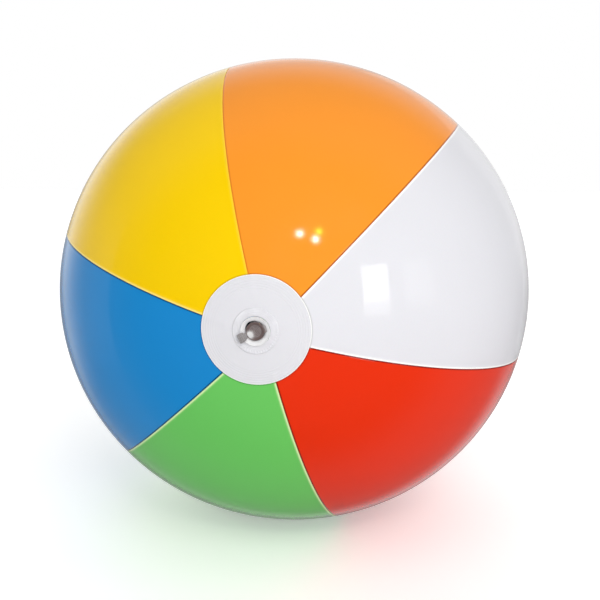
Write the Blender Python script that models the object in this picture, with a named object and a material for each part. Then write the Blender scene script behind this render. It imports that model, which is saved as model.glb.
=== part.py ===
"""Inflatable beach ball: six film gores, two end discs and a push-in air valve.

The ball stands on the small flat that its weight presses into the film. The origin is the centre of
that flat, and +Z is up. The gores' tips point along Y, and the valve faces -Y.
"""
import math

import bmesh
import bpy
from mathutils import Vector

MM = 0.001

# The inflated ball.
BALL_RADIUS = 160 * MM
HEIGHT_RATIO = 0.983
CONTACT_RADIUS = 22 * MM
FILM = 0.25 * MM
GAP = 0.3 * MM

# Where the seams lie, in degrees anticlockwise from +X, seen from the valve end.
SEAMS = (104.5, 46.5, -14.0, -76.5, -136.0, -197.0, -255.5)
LAP = 4.0 * MM
GROOVE_FLOOR = 0.4 * MM
GROOVE_WIDTH = 1.2 * MM
TIP_RADIUS = 20 * MM

# The end discs, welded over the gores' tips. The valve's disc sits a little off the gores' axis.
DISC_RADIUS = 30 * MM
VALVE_X = -4.2 * MM
VALVE_RISE = 2.7 * MM

# The valve, measured outwards from the disc's face along its own axis.
HOLE_RADIUS = 8.1 * MM
FLANGE_RADIUS = 12.8 * MM
FLANGE_THICK = 0.5 * MM
WEB_MOUTH = 0.5 * MM
WEB_DEPTH = 7.5 * MM
WEB_ROLL = 2.0 * MM
WEB_THICK = 0.5 * MM
STEM_RADIUS = 5.0 * MM
BORE_RADIUS = 4.0 * MM
STEM_RIM = -0.7 * MM
STEM_END = -12.0 * MM
RIM_CHAMFER = 0.3 * MM
PLUG_TOP = 0.7 * MM
PLUG_SHANK = 3.2 * MM
PLUG_ROOT_RADIUS = BORE_RADIUS - GAP
PLUG_TIP_RADIUS = 2.8 * MM
PLUG_STEP = 0.25 * MM
PLUG_STEPS = 2
TAB_REACH = 6.4 * MM
TAB_WIDTH = 4.6 * MM
TAB_ANGLE = 16.0
TAB_ROOT = 3.6 * MM
TAB_CORNER = 0.8 * MM
TAB_END_SHARE = 0.55
TAB_SINK = 0.1 * MM
STRAP_ANGLE = 206.0
STRAP_WIDTH = 5.0 * MM
STRAP_THICK = 0.5 * MM
STRAP_BEND = 0.6 * MM
HINGE_REACH = 8.9 * MM
HINGE_HEIGHT = 1.65 * MM

# The strap's middle line before and after its bend, as (distance from the valve's axis, height) in mm.
STRAP_UP = ((5.3, 0.45), (5.6, 0.9), (6.6, 2.1), (7.6, 2.25))
STRAP_DOWN = ((7.4, 1.05), (6.6, 0.6), (6.25, -0.2), (6.0, -2.0), (5.7, -3.6))

# The check flap on the stem's inner end.
FLAP_RADIUS = 4.9 * MM
FLAP_THICK = 0.5 * MM

# How finely the round shapes are cut.
TIP_ROWS = 2
SIDE_ROWS = 11
CONTACT_ROWS = 4
GORE_COLUMNS = 8
GREEN_COLUMNS = (1, 4, 6)
DISC_SIDES = 40
VALVE_SIDES = 24
VALVE_DISC_ROWS = (2, 2)
FAR_DISC_ROWS = (3, 2)
FLANGE_ROWS = (2,)
WEB_STEPS = 6
BEND_STEPS = 5
SHARP_ANGLE = 35.0

# How far the rows and columns that frame the flat on the ground stand in from its edge.
FLAT_ROW_SHARE = 0.96
FLAT_COLUMN_SHARE = 0.86

# Worked out from the sizes above.
HALF_HEIGHT = BALL_RADIUS * HEIGHT_RATIO
CENTRE_Z = HALF_HEIGHT * math.sqrt(1 - (CONTACT_RADIUS / BALL_RADIUS) ** 2)
DISC_LIFT = GAP + FILM
VALVE_Z = CENTRE_Z + VALVE_RISE

# Film colours of the gores, in the order of the seams, and whether a gore's edges lie on top.
GORES = (
    ("orange", (1.00, 0.33, 0.035), False),
    ("white", (0.80, 0.80, 0.84), True),
    ("red", (0.76, 0.035, 0.012), False),
    ("green", (0.15, 0.56, 0.13), True),
    ("blue", (0.015, 0.20, 0.60), False),
    ("yellow", (0.90, 0.57, 0.005), True),
)
WHITE_FILM = (0.78, 0.78, 0.82)
CLEAR_PVC = (0.86, 0.87, 0.88)
GORE_ROUGHNESS = 0.12
DISC_ROUGHNESS = 0.16
PVC_ROUGHNESS = 0.1
PVC_ALPHA = 0.45


def remove_everything():
    """Empty the scene before building."""
    for item in list(bpy.data.objects):
        bpy.data.objects.remove(item, do_unlink=True)


def material(name, colour, roughness, alpha=1.0):
    """Make one Principled material, opaque unless it is given an alpha."""
    made = bpy.data.materials.new(name)
    made.use_nodes = True
    shader = made.node_tree.nodes["Principled BSDF"]
    shader.inputs["Base Color"].default_value = (*colour, 1.0)
    shader.inputs["Roughness"].default_value = roughness
    shader.inputs["Metallic"].default_value = 0.0
    shader.inputs["Alpha"].default_value = alpha
    return made


def add_object(name, mesh, finish):
    """Put a finished mesh in the scene, shaded smooth, with its material."""
    item = bpy.data.objects.new(name, mesh)
    bpy.context.scene.collection.objects.link(item)
    mesh.materials.append(finish)
    mesh.shade_smooth()
    mesh.set_sharp_from_angle(angle=math.radians(SHARP_ANGLE))
    return item


def mesh_of(name, points, faces):
    """Make a mesh of points and faces, with every face turned outwards."""
    mesh = bpy.data.meshes.new(name)
    shape = bmesh.new()
    corners = [shape.verts.new(point) for point in points]
    for face in faces:
        shape.faces.new([corners[index] for index in face])
    bmesh.ops.recalc_face_normals(shape, faces=shape.faces)
    shape.to_mesh(mesh)
    shape.free()
    return mesh


def even_steps(breaks, counts):
    """Split each stretch between two breaks into equal steps."""
    values = [breaks[0]]
    for start, end, count in zip(breaks, breaks[1:], counts):
        for step in range(1, count + 1):
            values.append(start + (end - start) * step / count)
    return values


# ---- The film: gores and end discs ----

def on_ball(across, outwards, up, lift):
    """Place a direction from the ball's centre on its surface, pressed flat at the ground."""
    reach = BALL_RADIUS + lift
    height = CENTRE_Z + reach * HEIGHT_RATIO * up
    return Vector((reach * across, reach * outwards, max(height, -min(lift, 0.0))))


def film_shell(name, outer, inner, closed):
    """Make a thin closed shell from an outer and an inner grid of points.

    Both faces are cut along the same diagonals, so that the wall keeps its thickness. A closed grid
    joins its last column to its first.
    """
    rows = len(outer)
    columns = len(outer[0])
    points = [point for grid in (outer, inner) for row in grid for point in row]
    layer = rows * columns
    faces = []
    spans = columns if closed else columns - 1
    for row in range(rows - 1):
        for column in range(spans):
            after = (column + 1) % columns
            corner = row * columns + column
            side = row * columns + after
            below = corner + columns
            opposite = side + columns
            for base in (0, layer):
                faces.append((base + corner, base + side, base + opposite))
                faces.append((base + corner, base + opposite, base + below))
    for column in range(spans):
        after = (column + 1) % columns
        for row in (0, rows - 1):
            start = row * columns + column
            end = row * columns + after
            faces.append((start, end, layer + end, layer + start))
    if not closed:
        for row in range(rows - 1):
            for column in (0, columns - 1):
                start = row * columns + column
                end = start + columns
                faces.append((start, end, layer + end, layer + start))
    return mesh_of(name, points, faces)


def gore_rows():
    """Angles from the valve pole at which a gore is cut across, closer at its tips and the ground."""
    tip = math.asin(TIP_RADIUS / BALL_RADIUS)
    shoulder = math.asin((DISC_RADIUS + LAP) / BALL_RADIUS)
    contact = math.asin(CONTACT_RADIUS / BALL_RADIUS) * FLAT_ROW_SHARE
    middle = math.pi / 2
    breaks = (tip, shoulder, middle - contact, middle + contact, math.pi - shoulder, math.pi - tip)
    return even_steps(breaks, (TIP_ROWS, SIDE_ROWS, CONTACT_ROWS, SIDE_ROWS, TIP_ROWS))


def top_columns(right, left, turn, on_ground):
    """Columns of a gore whose edges lie on top: it ends at both seams, all at the ball's radius."""
    lap = LAP / turn
    if on_ground:
        bottom = -math.pi / 2
        contact = math.asin(CONTACT_RADIUS / BALL_RADIUS) * FLAT_COLUMN_SHARE
        breaks = (left + lap, bottom - contact, bottom + contact, right - lap)
        inside = even_steps(breaks, tuple(reversed(GREEN_COLUMNS)))
    else:
        inside = even_steps((left + lap, right - lap), (GORE_COLUMNS,))
    angles = [left, *inside, right]
    return [(angle, 0.0) for angle in angles]


def under_columns(right, left, turn):
    """Columns of a gore whose edges dip into a groove and run on under the neighbours."""
    lap = LAP / turn
    floor = GROOVE_FLOOR / turn
    wall = GROOVE_WIDTH / turn
    under = -(FILM + GAP)
    inside = even_steps((left + wall, right - wall), (GORE_COLUMNS,))
    columns = [(left - lap, under), (left + floor, under)]
    columns += [(angle, 0.0) for angle in inside]
    columns += [(right - floor, under), (right + lap, under)]
    return columns


def build_gore(index):
    """Make one gore between its two seams, from tip to tip."""
    colour_name, colour, on_top = GORES[index]
    right = math.radians(SEAMS[index])
    left = math.radians(SEAMS[index + 1])
    outer = []
    inner = []
    for polar in gore_rows():
        turn = BALL_RADIUS * math.sin(polar)
        if on_top:
            columns = top_columns(right, left, turn, colour_name == "green")
        else:
            columns = under_columns(right, left, turn)
        for grid, depth in ((outer, 0.0), (inner, FILM)):
            row = []
            for angle, level in columns:
                across = math.sin(polar) * math.cos(angle)
                up = math.sin(polar) * math.sin(angle)
                row.append(on_ball(across, -math.cos(polar), up, level - depth))
            grid.append(row)
    name = "gore_" + colour_name
    finish = material("film_" + colour_name, colour, GORE_ROUGHNESS)
    add_object(name, film_shell(name, outer, inner, closed=False), finish)


def ring_on_ball(centre_x, rise, radius, side, lift, sides):
    """A ring of points on the ball's surface around an axis parallel to Y."""
    ring = []
    reach = BALL_RADIUS + lift
    for step in range(sides):
        turn = 2 * math.pi * step / sides
        across = (centre_x + radius * math.cos(turn)) / reach
        up = (rise + radius * math.sin(turn)) / (reach * HEIGHT_RATIO)
        outwards = side * math.sqrt(1 - across ** 2 - up ** 2)
        ring.append(on_ball(across, outwards, up, lift))
    return ring


def build_valve_disc():
    """The white disc at the valve end, with a round hole for the valve."""
    radii = even_steps((HOLE_RADIUS, TIP_RADIUS, DISC_RADIUS), VALVE_DISC_ROWS)
    grids = []
    for lift in (DISC_LIFT, DISC_LIFT - FILM):
        grids.append([ring_on_ball(VALVE_X, VALVE_RISE, radius, -1, lift, DISC_SIDES) for radius in radii])
    mesh = film_shell("valve_end_disc", grids[0], grids[1], closed=True)
    add_object("valve_end_disc", mesh, material("film_valve_disc", WHITE_FILM, DISC_ROUGHNESS))


def build_far_disc():
    """The plain white disc at the other end, whose faces each close in a fan round a middle point."""
    radii = even_steps((GAP, TIP_RADIUS, DISC_RADIUS), FAR_DISC_ROWS)
    points = []
    faces = []
    for lift in (DISC_LIFT, DISC_LIFT - FILM):
        base = len(points)
        for radius in radii:
            points += ring_on_ball(0.0, 0.0, radius, 1, lift, DISC_SIDES)
        points.append(on_ball(0.0, 1.0, 0.0, lift))
        centre = len(points) - 1
        for step in range(DISC_SIDES):
            after = (step + 1) % DISC_SIDES
            faces.append((centre, base + step, base + after))
            for row in range(len(radii) - 1):
                near = base + row * DISC_SIDES
                far = near + DISC_SIDES
                faces.append((near + step, near + after, far + after))
                faces.append((near + step, far + after, far + step))
    layer = len(radii) * DISC_SIDES + 1
    rim = (len(radii) - 1) * DISC_SIDES
    for step in range(DISC_SIDES):
        after = (step + 1) % DISC_SIDES
        faces.append((rim + step, rim + after, layer + rim + after, layer + rim + step))
    mesh = mesh_of("far_end_disc", points, faces)
    add_object("far_end_disc", mesh, material("film_far_disc", WHITE_FILM, DISC_ROUGHNESS))


# ---- The valve ----

def face_y():
    """Y of the valve disc's outer face on the valve's axis."""
    reach = BALL_RADIUS + DISC_LIFT
    across = VALVE_X / reach
    up = VALVE_RISE / (reach * HEIGHT_RATIO)
    return -reach * math.sqrt(1 - across ** 2 - up ** 2)


def valve_point(radius, height, turn, sideways=0.0):
    """A point of the valve: distance from its axis, height out of the face and angle round it."""
    across = VALVE_X + radius * math.cos(turn) - sideways * math.sin(turn)
    up = VALVE_Z + radius * math.sin(turn) + sideways * math.cos(turn)
    return Vector((across, face_y() - height, up))


def turned(name, profile):
    """Turn a closed profile of (radius, height) round the valve's axis."""
    points = []
    starts = []
    for radius, height in profile:
        starts.append(len(points))
        if radius == 0:
            points.append(valve_point(0.0, height, 0.0))
        else:
            for step in range(VALVE_SIDES):
                points.append(valve_point(radius, height, 2 * math.pi * step / VALVE_SIDES))
    faces = []
    for index, (radius, _) in enumerate(profile):
        after_index = (index + 1) % len(profile)
        after_radius = profile[after_index][0]
        for step in range(VALVE_SIDES):
            after = (step + 1) % VALVE_SIDES
            near = starts[index]
            far = starts[after_index]
            if radius == 0 and after_radius == 0:
                continue
            if radius == 0:
                faces.append((near, far + step, far + after))
            elif after_radius == 0:
                faces.append((near + step, near + after, far))
            else:
                faces.append((near + step, near + after, far + after, far + step))
    return mesh_of(name, points, faces)


def build_flange(clear):
    """The valve's flat ring, welded on the outside of the white disc round its hole."""
    radii = even_steps((HOLE_RADIUS, FLANGE_RADIUS), FLANGE_ROWS)
    grids = []
    for lift in (DISC_LIFT + GAP + FLANGE_THICK, DISC_LIFT + GAP):
        grids.append([ring_on_ball(VALVE_X, VALVE_RISE, radius, -1, lift, VALVE_SIDES) for radius in radii])
    add_object("valve_flange", film_shell("valve_flange", grids[0], grids[1], closed=True), clear)


def build_web(clear):
    """The thin collar that rolls inwards from the flange to the stem, so the stem can be pushed in."""
    foot = STEM_RADIUS + GAP
    profile = []
    for step in range(WEB_STEPS + 1):
        turn = math.pi / 2 * step / WEB_STEPS
        profile.append((foot + WEB_ROLL * math.cos(turn), WEB_MOUTH - WEB_DEPTH * math.sin(turn)))
    for step in range(WEB_STEPS, -1, -1):
        turn = math.pi / 2 * step / WEB_STEPS
        radius = foot + (WEB_ROLL + WEB_THICK) * math.cos(turn)
        profile.append((radius, WEB_MOUTH - (WEB_DEPTH + WEB_THICK) * math.sin(turn)))
    add_object("valve_web", turned("valve_web", profile), clear)


def build_stem(clear):
    """The tube that air goes in through, open from its rim to its inner end."""
    profile = (
        (BORE_RADIUS, STEM_END),
        (STEM_RADIUS, STEM_END),
        (STEM_RADIUS, STEM_RIM - RIM_CHAMFER),
        (STEM_RADIUS - RIM_CHAMFER, STEM_RIM),
        (BORE_RADIUS, STEM_RIM),
    )
    add_object("valve_stem", turned("valve_stem", profile), clear)


def build_plug(clear):
    """The plug: a stepped, dished head on a tapered shank, with a tab to pull it by."""
    step_width = PLUG_TIP_RADIUS / (PLUG_STEPS + 1)
    profile = [(0.0, PLUG_TOP - PLUG_STEP * PLUG_STEPS)]
    for step in range(1, PLUG_STEPS + 1):
        level = PLUG_TOP - PLUG_STEP * (PLUG_STEPS - step)
        profile.append((step_width * step, level - PLUG_STEP))
        profile.append((step_width * step, level))
    profile += [
        (STEM_RADIUS - RIM_CHAMFER, PLUG_TOP),
        (STEM_RADIUS, PLUG_TOP - RIM_CHAMFER),
        (STEM_RADIUS, STEM_RIM + GAP),
        (PLUG_ROOT_RADIUS, STEM_RIM + GAP),
        (PLUG_TIP_RADIUS, STEM_RIM - PLUG_SHANK),
        (0.0, STEM_RIM - PLUG_SHANK),
    ]
    plug = add_object("valve_plug", turned("valve_plug", profile), clear)
    turn = math.radians(TAB_ANGLE)
    corners = []
    for height in (0.0, PLUG_TOP - TAB_SINK):
        for radius, share in ((TAB_ROOT, 1.0), (TAB_REACH - TAB_CORNER, 1.0), (TAB_REACH, TAB_END_SHARE)):
            for side in (-1, 1):
                corners.append(valve_point(radius, height, turn, side * share * TAB_WIDTH / 2))
    faces = [(0, 2, 3, 1), (2, 4, 5, 3), (6, 7, 9, 8), (8, 9, 11, 10), (0, 1, 7, 6), (4, 10, 11, 5)]
    faces += [(0, 6, 8, 2), (2, 8, 10, 4), (1, 3, 9, 7), (3, 5, 11, 9)]
    tab = bpy.data.objects.new("plug_tab_shape", mesh_of("plug_tab_shape", corners, faces))
    bpy.context.scene.collection.objects.link(tab)
    tab.hide_render = True
    tab.display_type = "WIRE"
    union = plug.modifiers.new("tab", "BOOLEAN")
    union.operation = "UNION"
    union.solver = "EXACT"
    union.object = tab


def strap_route():
    """The strap's middle line as (radius, height): up from the head, round its bend, down to the stem."""
    route = [(radius * MM, height * MM) for radius, height in STRAP_UP]
    for step in range(BEND_STEPS + 1):
        turn = math.pi / 2 - math.pi * step / BEND_STEPS
        route.append((HINGE_REACH + STRAP_BEND * math.cos(turn), HINGE_HEIGHT + STRAP_BEND * math.sin(turn)))
    route += [(radius * MM, height * MM) for radius, height in STRAP_DOWN]
    return route


def build_tether(clear):
    """The strap that keeps the plug on the stem."""
    route = strap_route()
    turn = math.radians(STRAP_ANGLE)
    points = []
    for index, (radius, height) in enumerate(route):
        before = route[max(index - 1, 0)]
        after = route[min(index + 1, len(route) - 1)]
        along = Vector((after[0] - before[0], after[1] - before[1])).normalized()
        for face in (-1, 1):
            shift = face * STRAP_THICK / 2
            for side in (-1, 1):
                points.append(valve_point(radius - along.y * shift, height + along.x * shift, turn,
                                          side * STRAP_WIDTH / 2))
    faces = [(0, 1, 3, 2)]
    for index in range(len(route) - 1):
        near = 4 * index
        far = near + 4
        for start, end in ((0, 1), (1, 3), (3, 2), (2, 0)):
            faces.append((near + start, near + end, far + end, far + start))
    last = 4 * (len(route) - 1)
    faces.append((last, last + 1, last + 3, last + 2))
    add_object("plug_tether", mesh_of("plug_tether", points, faces), clear)


def build_flap(clear):
    """The check flap that air presses shut against the stem's inner end."""
    top = STEM_END - GAP
    profile = (
        (0.0, top),
        (FLAP_RADIUS, top),
        (FLAP_RADIUS, top - FLAP_THICK),
        (0.0, top - FLAP_THICK),
    )
    flap = add_object("check_flap", turned("check_flap", profile), clear)
    hinge = valve_point(FLAP_RADIUS, top, math.pi / 2)
    set_origin(flap, hinge)


def set_origin(item, place):
    """Put an object's origin at a place on its joint's axis, leaving its shape where it is."""
    for vertex in item.data.vertices:
        vertex.co -= place
    item.location = place


def build_valve():
    """All the clear pieces of the valve."""
    clear = material("clear_pvc", CLEAR_PVC, PVC_ROUGHNESS, PVC_ALPHA)
    build_flange(clear)
    build_web(clear)
    build_stem(clear)
    build_plug(clear)
    build_tether(clear)
    build_flap(clear)
    hinge = valve_point(HINGE_REACH, HINGE_HEIGHT, math.radians(STRAP_ANGLE))
    for name in ("plug_tab_shape", "valve_plug"):
        set_origin(bpy.data.objects[name], hinge)


remove_everything()
for gore_index in range(len(GORES)):
    build_gore(gore_index)
build_valve_disc()
build_far_disc()
build_valve()
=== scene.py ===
import math

import bmesh
import bpy
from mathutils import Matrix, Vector


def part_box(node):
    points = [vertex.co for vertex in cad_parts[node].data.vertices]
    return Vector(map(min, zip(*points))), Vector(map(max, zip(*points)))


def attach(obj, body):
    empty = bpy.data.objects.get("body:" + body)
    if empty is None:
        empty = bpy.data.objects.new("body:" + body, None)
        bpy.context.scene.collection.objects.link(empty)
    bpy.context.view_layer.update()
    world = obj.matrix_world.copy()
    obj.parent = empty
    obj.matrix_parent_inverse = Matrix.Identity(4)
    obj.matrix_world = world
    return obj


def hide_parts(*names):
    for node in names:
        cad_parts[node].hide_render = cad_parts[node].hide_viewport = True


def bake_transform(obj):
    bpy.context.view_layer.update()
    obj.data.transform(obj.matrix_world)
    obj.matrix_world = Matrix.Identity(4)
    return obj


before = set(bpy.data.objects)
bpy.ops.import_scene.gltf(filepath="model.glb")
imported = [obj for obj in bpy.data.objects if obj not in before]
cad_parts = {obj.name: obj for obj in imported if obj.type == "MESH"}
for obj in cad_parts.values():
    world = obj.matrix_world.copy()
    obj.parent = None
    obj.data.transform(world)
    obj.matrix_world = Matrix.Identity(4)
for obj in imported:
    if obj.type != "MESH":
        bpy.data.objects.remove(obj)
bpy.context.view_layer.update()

MM = 0.001


# ======================================================================================
# The six gores. Each is a long leaf of printed PVC film, cut to shape and welded to its
# neighbours along both edges. Yellow, white and green lie on top at their seams, and
# orange, red and blue dip under them, so every seam shows a cut edge beside a groove.
# ======================================================================================

# The CAD stands the discs this far off the ball, so that its touching pieces keep apart.
CAD_DISC_LIFT = 0.55 * MM
far_low, far_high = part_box("far_end_disc")
BALL_RADIUS = far_high.y - CAD_DISC_LIFT
BALL_CENTRE = Vector(((far_low.x + far_high.x) / 2, 0, (far_low.z + far_high.z) / 2))
HEIGHT_RATIO = 0.983
FILM = 0.25 * MM
CONTACT_SOFTNESS = 0.25 * MM

valve_low, valve_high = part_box("valve_stem")
VALVE_X = (valve_low.x + valve_high.x) / 2
VALVE_RISE = (valve_low.z + valve_high.z) / 2 - BALL_CENTRE.z

SEAMS = (104.5, 46.5, -14.0, -76.5, -136.0, -197.0, -255.5)
TIP_RADIUS = 20 * MM
RIM_GROOVE = 0.08 * MM
DISC_RADIUS = (far_high.x - far_low.x) / 2
GORE_COLUMNS = 48
GORE_GLOSS = 0.06
SHADOW_OFFSET = 0.15
RIM_MARGIN = 8 * MM
EDGE_BEAD = 0.45
SHARP_ANGLE = math.radians(40)

# Stretches along a gore: start and end from the valve's pole and the spacing of its rows, in millimetres.
ROW_STRETCHES = (
    (20.0, 24.0, 1.0),
    (24.0, 36.4, 0.31),
    (36.4, 472.6, 3.0),
    (472.6, 476.0, 0.5),
    (476.0, 482.8, 1.7),
)

# Distances from a seam, in millimetres, at which a gore is cut lengthways.
TOP_EDGE_STEPS = (0.0, 0.1, 0.22, 0.36, 0.52, 0.75, 1.1, 1.7, 2.6, 3.6, 4.2, 5.2)
UNDER_EDGE_STEPS = (-4.0, -1.2, 0.08, 0.22, 0.36, 0.5, 0.66, 0.84, 1.05, 1.4, 2.0, 3.2, 5.0)


def bell(distance, middle, width):
    """A smooth hump, 1 at its middle."""
    return math.exp(-(((distance - middle) / width) ** 2))


def ease(value, start, end):
    """Rise smoothly from 0 at start to 1 at end."""
    share = min(max((value - start) / (end - start), 0.0), 1.0)
    return share * share * (3 - 2 * share)


def on_ball(polar, turn, lift):
    """A point on the ball: angle from the valve's pole, angle round that pole, height off the film."""
    reach = BALL_RADIUS + lift
    across = reach * math.sin(polar) * math.cos(turn)
    up = BALL_CENTRE.z + reach * HEIGHT_RATIO * math.sin(polar) * math.sin(turn)
    floor = max(-lift, 0.0)
    above = up - floor
    settled = floor + (above + math.hypot(above, 2 * CONTACT_SOFTNESS)) / 2
    return Vector((BALL_CENTRE.x + across, -reach * math.cos(polar), settled))


def top_edge_height(distance):
    """Height of an upper gore's surface, in mm, at a distance from its cut edge."""
    bead = 0.05 * bell(distance, EDGE_BEAD, 0.3)
    rounded = -0.1 * bell(distance, 0.0, 0.12)
    pressed = -0.03 * ease(distance, 0.8, 1.3) * (1 - ease(distance, 3.5, 4.3))
    return bead + rounded + pressed


def under_edge_height(distance):
    """Height of a lower gore's surface, in mm, as it dips into the groove and under its neighbour."""
    floor = -(FILM / MM + 0.02)
    rise = ease(distance, 0.12, 0.95)
    return floor * (1 - rise) + 0.03 * bell(distance, 1.3, 0.35)


def row_angles():
    """Angles from the valve's pole for the rows along a gore, closer together under a disc's rim."""
    angles = []
    length = math.pi * BALL_RADIUS / MM
    for start, end, spacing in ROW_STRETCHES:
        steps = round((end - start) / spacing)
        angles += [math.pi * (start + (end - start) * step / steps) / length for step in range(steps)]
    return angles + [math.pi - angles[0]]


def rim_press_and_shade(point):
    """How near a point is to a disc's welded rim, just outside it: 1 on the line of the rim. Its value both
    presses the film down and paints shadow along the rim.
    """
    if point.y < 0:
        away = math.hypot(point.x - VALVE_X, point.z - BALL_CENTRE.z - VALVE_RISE)
    else:
        away = math.hypot(point.x, point.z - BALL_CENTRE.z)
    return bell((away - DISC_RADIUS) / MM, 0.05, 0.5)


def gore_columns(on_top):
    """The columns across a gore: side and distance of the seam each keeps to, its height and masks."""
    steps = TOP_EDGE_STEPS if on_top else UNDER_EDGE_STEPS
    places = [(0.0, distance) for distance in steps]
    places += [(step / GORE_COLUMNS, steps[-1]) for step in range(1, GORE_COLUMNS)]
    places += [(1.0, distance) for distance in reversed(steps)]
    columns = []
    for share, distance in places:
        # The edge mask paints the upper gore's cut edge: the film's pale core, and a painted highlight on
        # its bead.
        if on_top:
            height, edge, groove = top_edge_height(distance), bell(distance, EDGE_BEAD, 0.6), 0.0
        else:
            # The groove mask paints shade into the groove where the lower gore dips under its neighbour.
            height, edge, groove = under_edge_height(distance), 0.0, 1 - ease(distance, 0.3, 1.15)
        columns.append((share, distance * MM, height * MM, edge, groove))
    return columns


def shell_mesh(name, outer, inner, closed, masks=None):
    """A thin closed film from two grids of points. masks gives named values for each grid point."""
    rows, columns = len(outer), len(outer[0])
    points = [point for grid in (outer, inner) for row in grid for point in row]
    layer = rows * columns
    spans = columns if closed else columns - 1
    faces = []
    for row in range(rows - 1):
        for column in range(spans):
            corner = row * columns + column
            side = row * columns + (column + 1) % columns
            faces.append((corner, side, side + columns, corner + columns))
            faces.append((layer + corner + columns, layer + side + columns, layer + side, layer + corner))
    for row in (0, rows - 1):
        for column in range(spans):
            start = row * columns + column
            end = row * columns + (column + 1) % columns
            faces.append((start, layer + start, layer + end, end))
    if not closed:
        for column in (0, columns - 1):
            for row in range(rows - 1):
                start = row * columns + column
                faces.append((start, start + columns, layer + start + columns, layer + start))
    mesh = bpy.data.meshes.new(name)
    mesh.from_pydata(points, [], faces)
    for label, values in (masks or {}).items():
        attribute = mesh.attributes.new(label, "FLOAT", "POINT")
        attribute.data.foreach_set("value", values + values)
    shape = bmesh.new()
    shape.from_mesh(mesh)
    bmesh.ops.recalc_face_normals(shape, faces=shape.faces)
    shape.to_mesh(mesh)
    shape.free()
    return mesh


def add_piece(name, mesh, finish, body, slot, *nodes):
    """Show a finished mesh as one piece: its material, the body it rides on and what it stands for."""
    piece = bpy.data.objects.new(name, mesh)
    bpy.context.scene.collection.objects.link(piece)
    mesh.materials.append(finish)
    mesh.shade_smooth()
    mesh.set_sharp_from_angle(angle=SHARP_ANGLE)
    if body:
        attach(piece, body)
    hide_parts(*nodes)
    return piece


def new_group(name, inputs, outputs):
    """An empty shader node group with these sockets, given as (name, type, starting value)."""
    group = bpy.data.node_groups.new(name, "ShaderNodeTree")
    for label, kind, value in inputs:
        socket = group.interface.new_socket(name=label, in_out="INPUT", socket_type=kind)
        socket.default_value = value
    for label, kind in outputs:
        group.interface.new_socket(name=label, in_out="OUTPUT", socket_type=kind)
    return group


def film_finish_group():
    """Printed film: slight changes of ink, a cut edge painted pale for the film's core and bright as a
    painted highlight, painted shade in the groove, gloss and fine waviness.
    """
    group = new_group(
        "film_finish",
        (
            ("Colour", "NodeSocketColor", (1, 1, 1, 1)),
            ("Edge Highlight Colour", "NodeSocketColor", (1, 1, 1, 1)),
            ("Groove Shade Colour", "NodeSocketColor", (0, 0, 0, 1)),
            ("Edge Highlight", "NodeSocketFloat", 0.0),
            ("Groove Shade", "NodeSocketFloat", 0.0),
            ("Gloss", "NodeSocketFloat", 0.06),
        ),
        (("Colour", "NodeSocketColor"), ("Roughness", "NodeSocketFloat"), ("Normal", "NodeSocketVector")),
    )
    nodes, links = group.nodes, group.links
    given = nodes.new("NodeGroupInput")
    result = nodes.new("NodeGroupOutput")
    place = nodes.new("ShaderNodeTexCoord")

    def noise(scale, detail):
        texture = nodes.new("ShaderNodeTexNoise")
        texture.inputs["Scale"].default_value = scale
        texture.inputs["Detail"].default_value = detail
        links.new(place.outputs["Object"], texture.inputs["Vector"])
        return texture

    def remap(source, low, high):
        change = nodes.new("ShaderNodeMapRange")
        change.inputs["From Min"].default_value = 0.3
        change.inputs["From Max"].default_value = 0.7
        change.inputs["To Min"].default_value = low
        change.inputs["To Max"].default_value = high
        links.new(source, change.inputs["Value"])
        return change.outputs["Result"]

    def mix(blend, factor, first, second):
        node = nodes.new("ShaderNodeMix")
        node.data_type = "RGBA"
        node.blend_type = blend
        for value, label in ((factor, "Factor"), (first, "A"), (second, "B")):
            socket = node.inputs[label]
            if isinstance(value, bpy.types.NodeSocket):
                links.new(value, socket)
            else:
                socket.default_value = value
        return node.outputs["Result"]

    ink = nodes.new("ShaderNodeHueSaturation")
    links.new(given.outputs["Colour"], ink.inputs["Color"])
    links.new(remap(noise(7.0, 3.0).outputs["Fac"], 0.985, 1.015), ink.inputs["Value"])
    speckled = mix("MULTIPLY", 0.035, ink.outputs["Color"], noise(900.0, 1.0).outputs["Color"])
    highlighted = mix("MIX", given.outputs["Edge Highlight"], speckled, given.outputs["Edge Highlight Colour"])
    grooved = mix("MIX", given.outputs["Groove Shade"], highlighted, given.outputs["Groove Shade Colour"])
    links.new(grooved, result.inputs["Colour"])

    scuffs = nodes.new("ShaderNodeMath")
    scuffs.operation = "MULTIPLY_ADD"
    links.new(remap(noise(55.0, 6.0).outputs["Fac"], -0.02, 0.03), scuffs.inputs[0])
    scuffs.inputs[1].default_value = 1.0
    links.new(given.outputs["Gloss"], scuffs.inputs[2])
    links.new(scuffs.outputs["Value"], result.inputs["Roughness"])

    waves = nodes.new("ShaderNodeBump")
    waves.inputs["Strength"].default_value = 1.0
    waves.inputs["Distance"].default_value = 0.03 * MM
    links.new(noise(30.0, 1.5).outputs["Fac"], waves.inputs["Height"])
    pores = nodes.new("ShaderNodeBump")
    pores.inputs["Strength"].default_value = 1.0
    pores.inputs["Distance"].default_value = 0.0006 * MM
    links.new(noise(1400.0, 2.0).outputs["Fac"], pores.inputs["Height"])
    links.new(waves.outputs["Normal"], pores.inputs["Normal"])
    links.new(pores.outputs["Normal"], result.inputs["Normal"])
    return group


FILM_FINISH = film_finish_group()


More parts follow.
